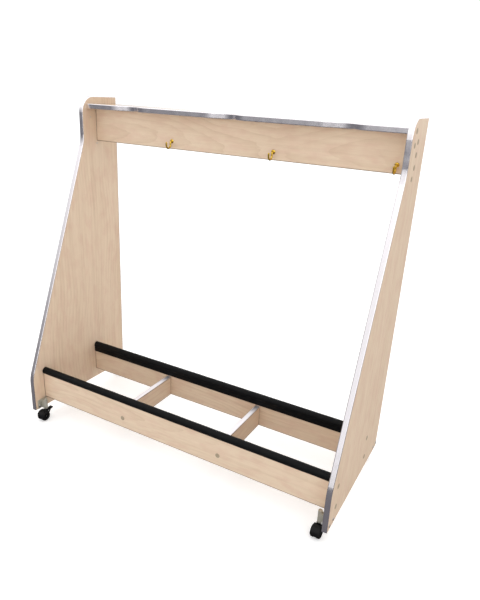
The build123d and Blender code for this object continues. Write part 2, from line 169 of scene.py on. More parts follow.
def light_sky():
    """White for the camera and for soft light; a plain studio with a dark side for reflections."""
    world = bpy.data.worlds.new("studio_sky")
    scene.world = world
    world.use_nodes = True
    tree = world.node_tree
    tree.nodes.clear()
    place = tree.nodes.new("ShaderNodeTexCoord")
    direction = tree.nodes.new("ShaderNodeSeparateXYZ")
    tree.links.new(place.outputs["Generated"], direction.inputs[0])
    rightward = map_range(tree, direction.outputs["X"], -0.80, 0.02)
    upward = map_range(tree, direction.outputs["Z"], -0.05, 0.62)
    backward = map_range(tree, direction.outputs["Y"], 0.55, 0.90)
    studio = math_node(tree, "MAXIMUM", rightward, math_node(tree, "MAXIMUM", upward, backward))
    tone = mix_colour(tree, studio, STUDIO_DARK, STUDIO_BRIGHT)
    path = tree.nodes.new("ShaderNodeLightPath")
    sky = tree.nodes.new("ShaderNodeBackground")
    colour = mix_colour(tree, path.outputs["Is Glossy Ray"], (1.0, 1.0, 1.0), tone)
    tree.links.new(colour, sky.inputs["Color"])
    extra = BACKDROP_STRENGTH - SKY_STRENGTH
    strength = math_node(tree, "MULTIPLY_ADD", path.outputs["Is Camera Ray"], extra, SKY_STRENGTH)
    tree.links.new(strength, sky.inputs["Strength"])
    output = tree.nodes.new("ShaderNodeOutputWorld")
    tree.links.new(sky.outputs[0], output.inputs[0])


def soft_box(name, spot, aim, size, power):
    """A square area light at `spot` that faces `aim`."""
    data = bpy.data.lights.new(name, "AREA")
    data.size = size
    data.energy = power
    lamp = bpy.data.objects.new(name, data)
    lamp.location = spot
    lamp.rotation_euler = (Vector(aim) - Vector(spot)).to_track_quat("-Z", "Y").to_euler()
    scene.collection.objects.link(lamp)


light_sky()
soft_box("key_soft_box", spot=(3.0, -3.4, 3.6), aim=(0, 0, 0.6), size=2.8, power=4)
soft_box("fill_soft_box", spot=(-3.2, -3.0, 2.6), aim=(0, 0, 0.5), size=2.8, power=3)
scene.view_settings.view_transform = "Standard"
print("lit by the sky and two soft boxes")

# %% [markdown]
# ## Shared effects
# Some effects come back on several finishes, so each is a node group with named inputs:
# * **maple figure** draws plain-sliced veneer. A slice through a leaning, wavy trunk gives arches over
#   the heart and straight grain beside it, so the group measures the distance to a leaning trunk axis
#   and bands it. Squeezed noise adds streaks and fibres.
# * **rim shade** finds the outermost millimetres of a board and darkens them: painted shade for the
#   shadow in the joints and along the edges, mixed with the slightly darker cut edge of the veneer.
# * **fine speckle** is small, soft noise for moulded and plated things.

# %% Helpers for groups
SOCKETS = {float: "NodeSocketFloat", tuple: "NodeSocketColor"}


def new_group(name, inputs, outputs):
    """A shader node group. Inputs and outputs are named, with a number or an RGBA colour each."""
    tree = bpy.data.node_groups.new(name, "ShaderNodeTree")
    for label, value in inputs.items():
        socket = tree.interface.new_socket(name=label, in_out="INPUT", socket_type=SOCKETS[type(value)])
        socket.default_value = value
    for label, value in outputs.items():
        tree.interface.new_socket(name=label, in_out="OUTPUT", socket_type=SOCKETS[type(value)])
    return tree, tree.nodes.new("NodeGroupInput").outputs, tree.nodes.new("NodeGroupOutput").inputs


def use_group(tree, group, **values):
    """Places a group in a material; each value is a number, an RGB colour or a socket."""
    node = tree.nodes.new("ShaderNodeGroup")
    node.node_tree = group
    for label, value in values.items():
        socket = node.inputs[label.replace("_", " ")]
        if isinstance(value, (int, float)):
            socket.default_value = value
        elif isinstance(value, tuple):
            socket.default_value = (*value, 1)
        else:
            tree.links.new(value, socket)
    return node.outputs


def stretched_noise(tree, along, across, seed, along_scale, across_scale, detail=2.0):
    """Noise drawn out along the grain: features are 1/scale metres long and wide."""
    place = tree.nodes.new("ShaderNodeCombineXYZ")
    tree.links.new(math_node(tree, "MULTIPLY", along, along_scale), place.inputs[0])
    tree.links.new(math_node(tree, "MULTIPLY", across, across_scale), place.inputs[1])
    tree.links.new(seed, place.inputs[2])
    node = tree.nodes.new("ShaderNodeTexNoise")
    tree.links.new(place.outputs[0], node.inputs["Vector"])
    node.inputs["Scale"].default_value = 1.0
    node.inputs["Detail"].default_value = detail
    node.inputs["Roughness"].default_value = 0.55
    return node.outputs[0]


# %% The maple figure group
RING_WIDTH = 0.016
TRUNK_DEPTH = 0.11


def make_maple_figure():
    """Along, Across and Depth are metres from the board's middle, in the board's own directions."""
    colour = (0.5, 0.5, 0.5, 1.0)
    sizes = {"Along": 0.0, "Across": 0.0, "Depth": 0.0, "Heart": 0.0, "Lean": 0.1, "Seed": 0.0}
    colours = {"Pale": colour, "Dark": colour, "Blush": colour}
    tree, given, put = new_group(
        "maple_figure", {**sizes, **colours}, {"Color": colour, "Grain": 0.0, "Height": 0.0}
    )
    along, across, seed = given["Along"], given["Across"], given["Seed"]
    wander = stretched_noise(tree, along, across, seed, 1.6, 2.0, 1.0)
    heart = math_node(tree, "MULTIPLY_ADD", wander, 0.16, given["Heart"])
    side = math_node(tree, "ADD", across, math_node(tree, "SUBTRACT", heart, 0.08))
    sunk = math_node(tree, "ADD", given["Depth"], seed)
    climb = math_node(tree, "MULTIPLY_ADD", along, given["Lean"], sunk)
    depth = math_node(tree, "PINGPONG", climb, TRUNK_DEPTH)
    side_square = math_node(tree, "POWER", side, 2.0)
    square = math_node(tree, "ADD", side_square, math_node(tree, "POWER", depth, 2.0))
    ripple = stretched_noise(tree, along, across, seed, 7.0, 30.0, 3.0)
    distance = math_node(tree, "MULTIPLY_ADD", ripple, 0.014, math_node(tree, "SQRT", square))
    ring = math_node(tree, "FRACT", math_node(tree, "DIVIDE", distance, RING_WIDTH))
    late = math_node(tree, "POWER", ring, 3.0)
    fade = stretched_noise(tree, along, across, seed, 3.0, 12.0, 1.0)
    late = math_node(tree, "MULTIPLY", late, map_range(tree, fade, 0.40, 0.62, 0.10, 0.42))
    streak = stretched_noise(tree, along, across, seed, 2.4, 80.0, 3.0)
    fibre = stretched_noise(tree, along, across, seed, 18.0, 650.0, 3.0)
    cloud = stretched_noise(tree, along, across, seed, 16.0, 36.0, 3.0)
    grain = math_node(tree, "ADD", late, map_range(tree, streak, 0.42, 0.74, 0.0, 0.30))
    grain = math_node(tree, "ADD", grain, map_range(tree, fibre, 0.50, 0.80, 0.0, 0.26))
    blush = math_node(tree, "MULTIPLY", map_range(tree, cloud, 0.44, 0.66), 0.8)
    base = mix_colour(tree, blush, given["Pale"], given["Blush"])
    tree.links.new(mix_colour(tree, grain, base, given["Dark"]), put["Color"])
    tree.links.new(grain, put["Grain"])
    tree.links.new(math_node(tree, "SUBTRACT", 1.0, fibre), put["Height"])
    return tree


maple_figure = make_maple_figure()
print("maple figure has", len(maple_figure.nodes), "nodes")

# %% The rim shade group: painted joint shade
END_TO_EDGE = 1.0


def make_rim_shade_paint():
    """A painted-shade mask that rises to 1 over `Reach` metres at the ends and long edges."""
    names = ("Along", "Across", "Half_Length", "Half_Width", "Reach")
    tree, given, put = new_group("board_rim", {n.replace("_", " "): 0.0 for n in names}, {"Mask": 0.0})
    to_end = math_node(tree, "SUBTRACT", given["Half Length"], math_node(tree, "ABSOLUTE", given["Along"]))
    to_edge = math_node(tree, "SUBTRACT", given["Half Width"], math_node(tree, "ABSOLUTE", given["Across"]))
    to_edge = math_node(tree, "MULTIPLY", to_edge, END_TO_EDGE)
    nearest = math_node(tree, "MINIMUM", to_end, to_edge)
    share = math_node(tree, "DIVIDE", nearest, given["Reach"])
    tree.links.new(map_range(tree, share, 0.5, 1.0, 1.0, 0.0), put["Mask"])
    return tree


board_rim = make_rim_shade_paint()
print("board rim has", len(board_rim.nodes), "nodes")

# %% The fine speckle group
def make_fine_speckle():
    """Small soft noise on Object coordinates: a mask around one half, `Size` metres a grain."""
    tree, given, put = new_group("fine_speckle", {"Size": 0.001}, {"Fine": 0.0, "Broad": 0.0})
    place = tree.nodes.new("ShaderNodeTexCoord")
    scale = math_node(tree, "DIVIDE", 1.0, given["Size"])
    for label, share, detail in (("Fine", 1.0, 2.0), ("Broad", 0.06, 3.0)):
        node = tree.nodes.new("ShaderNodeTexNoise")
        tree.links.new(place.outputs["Object"], node.inputs["Vector"])
        tree.links.new(math_node(tree, "MULTIPLY", scale, share), node.inputs["Scale"])
        node.inputs["Detail"].default_value = detail
        tree.links.new(node.outputs[0], put[label])
    return tree


fine_speckle = make_fine_speckle()
print("fine speckle has", len(fine_speckle.nodes), "nodes")

# %% A bump helper
def add_bump(tree, shader, height, strength, distance):
    """Bump from a height that changes over the surface; `distance` is the relief in metres."""
    bump = tree.nodes.new("ShaderNodeBump")
    bump.inputs["Strength"].default_value = strength
    bump.inputs["Distance"].default_value = distance
    tree.links.new(height, bump.inputs["Height"])
    tree.links.new(bump.outputs[0], shader.inputs["Normal"])


def paint(node, material):
    """Gives a CAD node's own object a finish."""
    for slot in nodes[node].material_slots:
        slot.material = material


# %% [markdown]
# ## Maple boards
# Every board is veneered, and its grain follows its longer side: upright on the end panels, lengthwise
# on shelf, apron and rails, front to back on the dividers. A board is cut from its own leaf of veneer,
# so each gets its own material with its own seed, and its heart sits where the figure should arch.

# %% The veneer finish
MAPLE_PALE = (0.745, 0.590, 0.440)
MAPLE_BLUSH = (0.700, 0.510, 0.385)
MAPLE_DARK = (0.560, 0.405, 0.275)
# painted shade: the dark colour that board ends and edges fade to, in place of the shadow in the joints
PAINTED_JOINT_SHADE = (0.190, 0.130, 0.085)
JOINT_SHADE_REACH = 3.0 * MM
GRAIN_RELIEF = 0.15 * MM
COAT_ROUGHNESS = 0.12
AXIS = {"X": 0, "Y": 1, "Z": 2}


def veneer(node, order, heart, lean, seed, rim=0.9, coat=0.0):
    """Maple veneer for one board, with painted joint shade at its rim. `order` names the axes along, across
    and through the board.
    """
    material, tree, shader = new_material(f"maple_{node}", roughness=0.5, specular=0.25)
    shader.inputs["Coat Weight"].default_value = coat
    shader.inputs["Coat Roughness"].default_value = COAT_ROUGHNESS
    low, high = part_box(node)
    middle, half = (low + high) / 2, (high - low) / 2
    place = tree.nodes.new("ShaderNodeTexCoord")
    split = tree.nodes.new("ShaderNodeSeparateXYZ")
    tree.links.new(place.outputs["Object"], split.inputs[0])
    along, across, depth = (
        math_node(tree, "SUBTRACT", split.outputs[name], middle[AXIS[name]]) for name in order
    )
    figure = use_group(
        tree, maple_figure, Along=along, Across=across, Depth=depth, Heart=heart, Lean=lean,
        Seed=seed, Pale=MAPLE_PALE, Dark=MAPLE_DARK, Blush=MAPLE_BLUSH,
    )
    edge = use_group(
        tree, board_rim, Along=along, Across=across, Reach=JOINT_SHADE_REACH,
        Half_Length=half[AXIS[order[0]]], Half_Width=half[AXIS[order[1]]],
    )
    # painted shade: the board's ends and edges darken towards the joint colour, standing in for the shadow
    # in the joints
    shade = math_node(tree, "MULTIPLY", edge["Mask"], rim)
    colour = mix_colour(tree, shade, figure["Color"], PAINTED_JOINT_SHADE)
    tree.links.new(colour, shader.inputs["Base Color"])
    tree.links.new(map_range(tree, figure["Grain"], 0.0, 1.0, 0.44, 0.60), shader.inputs["Roughness"])
    add_bump(tree, shader, figure["Height"], 0.25, GRAIN_RELIEF)
    paint(node, material)


# `rim` is the strength of the painted joint shade at each board's ends and edges; the end panels have none
BOARDS = {
    "left_end_panel": dict(order="ZYX", heart=0.42, lean=0.02, seed=1.7, rim=0.0),
    "right_end_panel": dict(order="ZYX", heart=-0.40, lean=0.02, seed=5.3, rim=0.0),
    "top_shelf": dict(order="XYZ", heart=0.03, lean=0.10, seed=2.9, rim=0.75, coat=1.0),
    "apron": dict(order="XZY", heart=0.02, lean=0.11, seed=3.4),
    "front_rail": dict(order="XZY", heart=-0.02, lean=0.10, seed=7.1),
    "rear_rail": dict(order="XZY", heart=0.05, lean=0.08, seed=8.6),
    "left_divider": dict(order="YZX", heart=0.04, lean=0.06, seed=4.2),
    "right_divider": dict(order="YZX", heart=-0.05, lean=0.06, seed=6.5),
}
for board, figure in BOARDS.items():
    veneer(board, **figure)
print(len(BOARDS), "boards veneered")

# %% [markdown]
# ## Edge band
# The band is a glossy metallic strip, pressed round the boards' edges. It is nearly a mirror, so what
# it shows is the studio: white where it faces right or up, grey at the front, dark blue where a notch
# turns it to the left. A little roughness softens that, and rolled metal is never quite even. The
# dividers' own bands sit in the shade of the bays and are duller.

# %% The silver band finish
def silver_band(name, low_rough, high_rough):
    material, tree, shader = new_material(name, roughness=low_rough, metallic=1.0)
    speckle = use_group(tree, fine_speckle, Size=0.0012)
    colour = mix_colour(tree, speckle["Broad"], (0.86, 0.84, 0.87), (0.93, 0.92, 0.94))
    tree.links.new(colour, shader.inputs["Base Color"])
    rough = map_range(tree, speckle["Broad"], 0.3, 0.7, low_rough, high_rough)
    tree.links.new(rough, shader.inputs["Roughness"])
    add_bump(tree, shader, speckle["Broad"], 0.10, 0.0002)
    return material


glossy_band = silver_band("silver_band", 0.16, 0.26)
satin_band = silver_band("satin_band", 0.44, 0.52)
bands = [name for name in nodes if name.endswith("_band")]
for band in bands:
    paint(band, satin_band if "divider" in band else glossy_band)
print("edge bands:", ", ".join(sorted(bands)))

# %% [markdown]
# ## Metal and nylon
# Casters mix three finishes: yellowish zinc plate on the brackets, plain steel on stems and fasteners,
# and black nylon, which is moulded in a lightly spark-eroded tool and so has a fine even grain.

# %% Plain finishes from the speckle
def speckled(name, first, second, roughness, size, relief, metallic=0.0, specular=0.5):
    """A finish that varies between two colours and two roughness values over fine speckle."""
    material, tree, shader = new_material(name, roughness[0], metallic, specular)
    speckle = use_group(tree, fine_speckle, Size=size)
    blend = map_range(tree, speckle["Broad"], 0.35, 0.65)
    tree.links.new(mix_colour(tree, blend, first, second), shader.inputs["Base Color"])
    tree.links.new(map_range(tree, speckle["Fine"], 0.3, 0.7, *roughness), shader.inputs["Roughness"])
    add_bump(tree, shader, speckle["Fine"], 0.35, relief)
    return material


def metal(name, first, second, roughness, size, relief, metallic=1.0):
    return speckled(name, first, second, roughness, size, relief, metallic=metallic)


def plastic(name, first, second, roughness, size, relief, specular):
    return speckled(name, first, second, roughness, size, relief, specular=specular)


zinc = metal("zinc_plate", (0.60, 0.58, 0.50), (0.52, 0.50, 0.42), (0.45, 0.60), 0.0010, 0.00004, 0.6)
steel = metal("steel_plate", (0.60, 0.60, 0.58), (0.48, 0.48, 0.46), (0.28, 0.42), 0.0008, 0.00003)
brass = metal("plated_brass", (0.80, 0.58, 0.10), (0.72, 0.49, 0.07), (0.14, 0.26), 0.0015, 0.00002)

NYLON_DARK, NYLON_LIGHT = (0.0035, 0.0038, 0.0045), (0.006, 0.006, 0.007)
VINYL_DARK, VINYL_LIGHT = (0.0035, 0.0040, 0.0045), (0.0055, 0.0060, 0.0065)
CAP_DARK, CAP_LIGHT = (0.35, 0.285, 0.20), (0.40, 0.33, 0.24)
nylon = plastic("black_nylon", NYLON_DARK, NYLON_LIGHT, (0.45, 0.62), 0.0005, 0.00006, 0.22)
tread = plastic("wheel_nylon", NYLON_DARK, NYLON_LIGHT, (0.50, 0.68), 0.0006, 0.00005, 0.20)
cap_grey = plastic("cap_plastic", CAP_LIGHT, CAP_DARK, (0.45, 0.58), 0.0007, 0.00004, 0.15)
vinyl = plastic("black_vinyl", VINYL_DARK, VINYL_LIGHT, (0.48, 0.66), 0.0011, 0.00016, 0.12)

FINISHES = {
    "caster_bracket": zinc,
    "caster_stem": steel,
    "caster_axle": steel,
    "caster_hood": nylon,
    "brake_lever": nylon,
}
for name in nodes:
    for start, finish in FINISHES.items():
        if name.startswith(start):
            paint(name, finish)
    if name.endswith("_screws"):
        paint(name, steel)
print("plain finishes:", ", ".join(sorted(m.name for m in set(FINISHES.values()))))

# %% [markdown]
# ## Mesh helpers
# Three shapes cover the new pieces: a turned shape (a profile spun about an axis), a wire (a circle
# carried along a flat path) and a sleeve (one section repeated along a rail). Each ends as a plain mesh
# whose edges are sharp only where its faces meet at more than a third of a right angle.

# %% Turn, wire and sleeve
SHARP_ANGLE = math.radians(32)


def finish_mesh(name, rows, closed_rows, cap_ends, material):
    """A skin over rows of points. Rows close on themselves; the ends get caps, or meet each other."""
    shape = bmesh.new()
    rings = [[shape.verts.new(point) for point in row] for row in rows]
    pairs = list(zip(rings, rings[1:]))
    if closed_rows:
        pairs.append((rings[-1], rings[0]))
    for first, second in pairs:
        for i in range(len(first)):
            j = (i + 1) % len(first)
            shape.faces.new((first[i], first[j], second[j], second[i]))
    if cap_ends:
        shape.faces.new(rings[0])
        shape.faces.new(rings[-1])
    bmesh.ops.remove_doubles(shape, verts=shape.verts, dist=1e-7)
    bmesh.ops.recalc_face_normals(shape, faces=shape.faces)
    bmesh.ops.triangulate(shape, faces=[f for f in shape.faces if len(f.verts) > 4])
    mesh = bpy.data.meshes.new(name)
    shape.to_mesh(mesh)
    shape.free()
    mesh.polygons.foreach_set("use_smooth", [True] * len(mesh.polygons))
    mesh.set_sharp_from_angle(angle=SHARP_ANGLE)
    mesh.materials.append(material)
    return mesh


def turned(name, profile, material, steps=48, closed=False):
    """Spins (radius, height) points in millimetres about Z."""
    rows = []
    for radius, height in profile:
        angles = [2 * math.pi * i / steps for i in range(steps)]
        rows.append([(radius * MM * math.cos(a), radius * MM * math.sin(a), height * MM) for a in angles])
    return finish_mesh(name, rows, closed, not closed, material)


def new_piece(name, mesh, slot, *replaced, body="rack"):
    """Links a finished mesh as a piece of the rack, on its body, and hides the nodes it replaces."""
    piece = bpy.data.objects.new(name, mesh)
    scene.collection.objects.link(piece)
    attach(piece, body)
    if replaced:
        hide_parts(*replaced)
    return piece


print("edges over", round(math.degrees(SHARP_ANGLE)), "degrees stay sharp")

# %% [markdown]
# ## Rail pads
# Each rail wears a padded vinyl cover: a fat foam bead over the top edge and a flat leg that is
# fastened to the side facing the guitars. It could be simulated as cloth, but the cover is glued round
# firm foam and can't sag, so a sleeve with a slightly uneven bead says the same. The bead swells
# between the places where it was pulled down, and a crease runs where bead and leg meet.

# %% Pad section
PAD_GAP = 0.12
CREASE = 0.7
LEG_BULGE = 0.25
LEG_ROUND = 1.2
LEG_WALL = 3.5


def pad_section(radius, half_rail, rail_rise, leg_drop, leg_wall, swell):
    """Section of a pad in millimetres: sideways from the rail's middle, upwards from the bead's."""
    inside = half_rail + PAD_GAP
    bead = radius * swell
    lip_angle = math.acos(inside / radius)
    leg_face = half_rail + leg_wall
    leg_angle = math.acos(min(1.0, (leg_face - CREASE) / bead))
    start, end = math.pi + lip_angle, -leg_angle
    steps = 30
    section = []
    for i in range(steps + 1):
        angle = start + (end - start) * i / steps
        section.append((bead * math.cos(angle), bead * math.sin(angle)))
    crease_z = section[-1][1] - CREASE
    section.append((leg_face - CREASE, crease_z))
    runs = 6
    for i in range(1, runs + 1):
        share = i / runs
        bulge = LEG_BULGE * math.sin(math.pi * share)
        height = crease_z - CREASE + share * (LEG_ROUND - leg_drop - crease_z + CREASE)
        section.append((leg_face - LEG_BULGE + bulge, height))
    section.append((leg_face - LEG_ROUND, -leg_drop))
    section.append((inside, -leg_drop))
    section.append((inside, rail_rise + PAD_GAP))
    section.append((-inside, rail_rise + PAD_GAP))
    return section


# %% Make the two pads
SECTION_STEP = 12.0
SWELL = 0.012
SWELL_PITCH = 95.0


def rail_pad(node, rail, leg_side):
    """A pad as long as its node, wrapped over its rail. leg_side is 1 where the leg is at the back."""
    low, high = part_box(node)
    rail_low, rail_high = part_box(rail)
    middle = (rail_low.y + rail_high.y) / 2
    half_rail = (rail_high.y - rail_low.y) / 2 / MM
    near_side = (middle - low.y) if leg_side > 0 else (high.y - middle)
    radius = near_side / MM
    bead_z = high.z - radius * MM
    leg_drop = (bead_z - low.z) / MM
    count = round((high.x - low.x) / (SECTION_STEP * MM))
    rows = []
    for i in range(count + 1):
        x = low.x + (high.x - low.x) * i / count
        wave = math.sin(2 * math.pi * x / (SWELL_PITCH * MM)) + 0.6 * math.sin(x * 41.0 + leg_side)
        swell = 1 - SWELL + SWELL * 0.6 * wave
        rise = (rail_high.z - bead_z) / MM
        section = pad_section(radius, half_rail, rise, leg_drop, LEG_WALL, min(swell, 1))
        rows.append([(x, middle + leg_side * y * MM, bead_z + z * MM) for y, z in section])
    mesh = finish_mesh(f"{rail}_padding", rows, False, True, vinyl)
    piece = new_piece(f"{rail}_padding", mesh, "pad", node)
    print(piece.name, "has", len(rows), "sections")


rail_pad("front_rail_pad", "front_rail", leg_side=1)
rail_pad("rear_rail_pad", "rear_rail", leg_side=-1)

# %% [markdown]
# ## Cup hooks
# A cup hook is one brass wire: a screw thread in the apron, a short shank, a turn down and a round
# bend, ending in a small ball so that it can't scratch. A domed cup slides over the thread and hides
# the hole. The wire is a circle carried along a flat path, and the cup is turned.

# %% The hook's path
HOOK_NECK = 9.5
HOOK_LEAD = 5.0
HOOK_TIP = 7.5
ARC_STEP = math.radians(7.5)


def arc_points(centre, radius, start, end):
    """Points on an arc in the YZ plane, from one angle to another, without the last one."""
    steps = max(2, round(abs(end - start) / ARC_STEP))
    angles = [start + (end - start) * i / steps for i in range(steps)]
    return [(centre[0] + radius * math.cos(a), centre[1] + radius * math.sin(a)) for a in angles]


def hook_line(node):
    """Centre line of a hook as (y, z) points, from its thread to its tip, and its wire radius."""
    low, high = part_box(node)
    wire = (high.x - low.x) / 2
    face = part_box("apron")[0].y
    shank_z = high.z - wire
    near = face - HOOK_NECK * MM
    far = low.y + wire
    bend = (near - far) / 2
    bend_z = low.z + wire + bend
    lead = HOOK_LEAD * MM
    line = [(high.y, shank_z), (face, shank_z)]
    line += arc_points((near + lead, shank_z - lead), lead, math.pi / 2, math.pi)
    line += arc_points(((near + far) / 2, bend_z), bend, 0, -math.pi)
    tip_z = bend_z + HOOK_TIP * MM
    line += [(far, bend_z), (far, (bend_z + tip_z) / 2), (far, tip_z)]
    return line, wire


# %% Carry a circle along it
WIRE_SIDES = 20
WIRE_WAIST = 0.96
BALL_STEPS = 6


def carried_circle(line, x, radii, name, material):
    """A wire in the plane at `x`: one ring of points square to the path at each of its points."""
    rows = []
    for i, (point, radius) in enumerate(zip(line, radii)):
        before, after = line[max(i - 1, 0)], line[min(i + 1, len(line) - 1)]
        run = Vector((after[0] - before[0], after[1] - before[1])).normalized()
        ring = []
        for k in range(WIRE_SIDES):
            angle = 2 * math.pi * k / WIRE_SIDES
            out = radius * math.sin(angle)
            ring.append((x + radius * math.cos(angle), point[0] - out * run.y, point[1] + out * run.x))
        rows.append(ring)
    return finish_mesh(name, rows, False, True, material)


def cup_hook(place):
    node = f"{place}_cup_hook"
    line, wire = hook_line(node)
    low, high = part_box(node)
    tip = line[-1]
    waist = wire * WIRE_WAIST
    radii = [wire] * 3
    bent = len(line) - len(radii)
    radii += [wire + (waist - wire) * (i + 1) / bent for i in range(bent)]
    for i in range(1, BALL_STEPS * 2):
        angle = math.pi * i / (BALL_STEPS * 2)
        if wire * math.sin(angle) > waist or i > BALL_STEPS:
            line.append((tip[0], tip[1] - wire * math.cos(angle)))
            radii.append(wire * math.sin(angle))
    mesh = carried_circle(line, (low.x + high.x) / 2, radii, f"{place}_brass_hook", brass)
    return new_piece(f"{place}_brass_hook", mesh, "brass", node)


hooks = [cup_hook(place) for place in ("left", "middle", "right")]
print(len(hooks), "hooks,", len(hooks[0].data.polygons), "faces each")

# %% [markdown]
# ## One tree sets out every small repeated thing
# Cover caps, bolts, nuts and hook cups are all the same job: one small shape, repeated at places the
# solid model already knows. Each solid of the node gives a point and the way it faces, and a Geometry
# Nodes tree puts the shape on every point, turns it to face that way, and makes it real.

# %% The setting-out tree
def new_tree(name, inputs):
    """A Geometry Nodes tree with a Geometry input and output, and the named inputs given."""
    tree = bpy.data.node_groups.new(name, "GeometryNodeTree")
    tree.interface.new_socket(name="Geometry", in_out="INPUT", socket_type="NodeSocketGeometry")
    for label, kind in inputs.items():
        tree.interface.new_socket(name=label, in_out="INPUT", socket_type=f"NodeSocket{kind}")
    tree.interface.new_socket(name="Geometry", in_out="OUTPUT", socket_type="NodeSocketGeometry")
    return tree, tree.nodes.new("NodeGroupInput").outputs, tree.nodes.new("NodeGroupOutput").inputs


def make_set_out():
    inputs = {"Shape": "Object", "Size": "Float", "Finish": "Material"}
    tree, given, put = new_tree("set_out_fasteners", inputs)
    shape = tree.nodes.new("GeometryNodeObjectInfo")
    tree.links.new(given["Shape"], shape.inputs["Object"])
    facing = tree.nodes.new("GeometryNodeInputNamedAttribute")
    facing.data_type = "FLOAT_VECTOR"
    facing.inputs["Name"].default_value = "facing"
    turn = tree.nodes.new("FunctionNodeAlignRotationToVector")
    turn.axis = "Z"
    tree.links.new(facing.outputs["Attribute"], turn.inputs["Vector"])
    place = tree.nodes.new("GeometryNodeInstanceOnPoints")
    tree.links.new(given["Geometry"], place.inputs["Points"])
    tree.links.new(shape.outputs["Geometry"], place.inputs["Instance"])
    tree.links.new(turn.outputs["Rotation"], place.inputs["Rotation"])
    tree.links.new(given["Size"], place.inputs["Scale"])
    real = tree.nodes.new("GeometryNodeRealizeInstances")
    tree.links.new(place.outputs[0], real.inputs[0])
    finish = tree.nodes.new("GeometryNodeSetMaterial")
    tree.links.new(real.outputs[0], finish.inputs["Geometry"])
    tree.links.new(given["Finish"], finish.inputs["Material"])
    tree.links.new(finish.outputs[0], put["Geometry"])
    return tree


def grow(source, tree, name, **values):
    """Runs a tree on an object and returns the result as a plain mesh, without its modifier."""
    modifier = source.modifiers.new(tree.name, "NODES")
    modifier.node_group = tree
    for item in tree.interface.items_tree:
        key = item.name.replace(" ", "_")
        if item.in_out == "INPUT" and key in values:
            modifier[item.identifier] = values[key]
    bpy.context.view_layer.update()
    graph = bpy.context.evaluated_depsgraph_get()
    mesh = bpy.data.meshes.new_from_object(source.evaluated_get(graph))
    mesh.name = name
    source.modifiers.remove(modifier)
    return mesh


set_out = make_set_out()
print("the setting-out tree has", len(set_out.nodes), "nodes")

# %% Places from the solids
def islands(node):
    """Corner boxes of a node's separate solids, found by joining its triangles' corners."""
    shape = bmesh.new()
    shape.from_mesh(nodes[node].data)
    bmesh.ops.remove_doubles(shape, verts=shape.verts, dist=1e-6)
    left = set(shape.verts)
    boxes = []
    while left:
        queue = [left.pop()]
        found = []
        while queue:
            vertex = queue.pop()
            found.append(vertex.co.copy())
            for edge in vertex.link_edges:
                other = edge.other_vert(vertex)
                if other in left:
                    left.remove(other)
                    queue.append(other)
        low = Vector(map(min, zip(*found)))
        high = Vector(map(max, zip(*found)))
        boxes.append((low, high))
    shape.free()
    return sorted(boxes, key=lambda pair: tuple(round(v, 4) for v in pair[0]))


def set_out_piece(name, node, shape_mesh, slot, seat):
    """Repeats one shape on every solid of a node. `seat` maps a solid's box to its point and facing."""
    points, directions = zip(*[seat(low, high) for low, high in islands(node)])
    mesh = bpy.data.meshes.new(name)
    mesh.from_pydata([tuple(point) for point in points], [], [])
    facing = mesh.attributes.new("facing", "FLOAT_VECTOR", "POINT")
    facing.data.foreach_set("vector", [v for direction in directions for v in direction])
    source = bpy.data.objects.new(name, mesh)
    shape = bpy.data.objects.new(f"{name}_shape", shape_mesh)
    scene.collection.objects.link(source)
    scene.collection.objects.link(shape)
    finish = shape_mesh.materials[0]
    grown = grow(source, set_out, name, Shape=shape, Size=1.0, Finish=finish)
    bpy.data.objects.remove(shape)
    bpy.data.objects.remove(source)
    piece = new_piece(name, grown, slot, node)
    print(name, "repeats one shape", len(points), "times")
    return piece


# %% Cover caps
# A cap is a thin domed disc. It lies along the axis on which its solid is thinnest.
def outward(low, high):
    """Point on the board's face and direction away from it, for a flat disc on a board."""
    size = high - low
    axis = min(range(3), key=lambda i: size[i])
    middle = (low + high) / 2
    if axis == 0:
        sign = 1 if middle.x > 0 else -1
    else:
        sign = -1 if middle.y < -0.1 else 1
    direction = Vector([sign if i == axis else 0 for i in range(3)])
    point = middle - direction * size[axis] / 2
    return point, direction


CAP_PROFILE = [(0, 0), (8.5, 0), (8.5, 0.25), (8.2, 0.6), (7.5, 0.85), (5.6, 1.05), (2.9, 1.17), (0, 1.2)]
cap_mesh = turned("cover_cap", CAP_PROFILE, cap_grey, steps=28)
set_out_piece("screw_cover_caps", "screw_caps", cap_mesh, "cap", outward)

# %% Caster bolts
# A bolt's solid is a head and a shank, so its head is at the end away from the rack's middle.
HEAD_HEIGHT = 2.6
THREAD_PITCH = 1.0


def bolt_seat(low, high):
    """Point on the panel's outer face under the head, and the way the head faces."""
    sign = 1 if low.x > 0 else -1
    middle = (low + high) / 2
    tip = high.x if sign > 0 else low.x
    return Vector((tip - sign * HEAD_HEIGHT * MM, middle.y, middle.z)), Vector((sign, 0, 0))


def bolt_profile(length, radius=3.0, head_radius=5.5, thread=10.0):
    """Domed head above zero, shank below, with real thread ridges on its last stretch."""
    profile = [(0, HEAD_HEIGHT), (2.2, HEAD_HEIGHT - 0.12), (3.9, HEAD_HEIGHT - 0.55)]
    profile += [(5.0, HEAD_HEIGHT - 1.35), (head_radius, 0.5), (head_radius, 0.0), (radius, 0.0)]
    turns = int(thread / THREAD_PITCH)
    start = -length + thread
    for i in range(turns):
        top = start - i * THREAD_PITCH
        profile += [(radius, top), (radius - 0.45, top - THREAD_PITCH / 2)]
    profile += [(radius - 0.3, -length + 0.3), (radius - 0.7, -length), (0, -length)]
    return profile


bolt_low, bolt_high = islands("caster_bolts")[0]
bolt_length = (bolt_high.x - bolt_low.x) / MM - HEAD_HEIGHT
bolt_mesh = turned("caster_bolt", bolt_profile(bolt_length), steel, steps=24)
set_out_piece("caster_bolt_set", "caster_bolts", bolt_mesh, "steel", bolt_seat)

